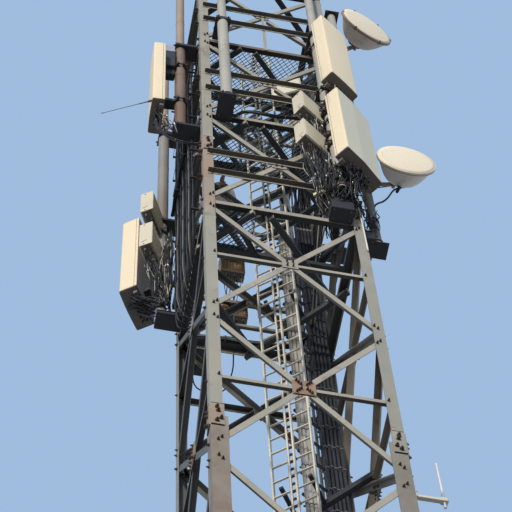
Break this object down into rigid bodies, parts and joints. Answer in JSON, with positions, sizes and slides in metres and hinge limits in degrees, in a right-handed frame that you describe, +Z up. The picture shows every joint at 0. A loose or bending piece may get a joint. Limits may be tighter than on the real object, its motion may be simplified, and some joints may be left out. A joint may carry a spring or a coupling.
{
  "type": "cell tower",
  "caption": "Square lattice tower with a climbing ladder, feeder cables, platforms and pipe mounts that carry panel antennas, radio units and dishes.",
  "frame": {"origin": "under the middle of the front left base plate, where the anchor bolts hold it", "axes": "+X to the right along the front face, +Y to the rear, +Z up"},
  "size_m": [3.9272, 2.9532, 18],
  "materials": {
    "leg_steel": "weathered galvanised, rust streaks",
    "brace_steel": "weathered galvanised",
    "rusty_steel": "rusted",
    "dark_steel": "weathered, dark",
    "grating_steel": "galvanised",
    "ladder_steel": "galvanised, light",
    "cable_ladder_steel": "galvanised",
    "cable_grey": "matt grey",
    "cable_black": "matt",
    "pipe_steel": "galvanised",
    "panel_shell": "matt, sun-warm cream",
    "radio_case": "matt cream",
    "dish_shell": "matt cream",
    "whip_white": "matt",
    "rod_steel": "weathered"
  },
  "bodies": {
    "root": {"base_plates": "rusty_steel", "leg_front_left": "leg_steel", "leg_front_right": "leg_steel", "leg_rear_left": "leg_steel", "leg_rear_right": "leg_steel", "leg_splices": "rusty_steel", "front_bracing_lower": "brace_steel", "front_bracing_upper": "brace_steel", "right_bracing_lower": "brace_steel", "right_bracing_upper": "brace_steel", "rear_bracing_lower": "brace_steel", "rear_bracing_upper": "brace_steel", "left_bracing_lower": "brace_steel", "left_bracing_upper": "brace_steel", "plan_beams": "dark_steel", "low_deck_frame": "dark_steel", "middle_deck_frame": "dark_steel", "top_deck_frame": "dark_steel", "low_deck_grating": "grating_steel", "middle_deck_grating": "grating_steel", "top_deck_grating": "grating_steel", "ladder": "ladder_steel", "fall_arrest_rail": "ladder_steel", "ladder_brackets": "dark_steel", "cable_ladder": "cable_ladder_steel", "feeder_cables": "cable_black", "grey_cables": "cable_grey", "jumper_cables": "cable_black", "upper_pipes": "pipe_steel", "lower_pipes": "pipe_steel", "pipe_brackets": "dark_steel", "right_upper_panel": "panel_shell", "right_lower_panel": "panel_shell", "left_upper_panel": "panel_shell", "left_lower_panel": "panel_shell", "panel_brackets": "dark_steel", "right_radio_units": "radio_case", "left_radio_units": "radio_case", "rear_radio_units": "radio_case", "upper_dish": "dish_shell", "lower_dish": "dish_shell", "rear_drum": "dish_shell", "dish_mounts": "dark_steel", "whip_antenna": "whip_white", "side_rod": "rod_steel"}
  },
  "joints": []
}
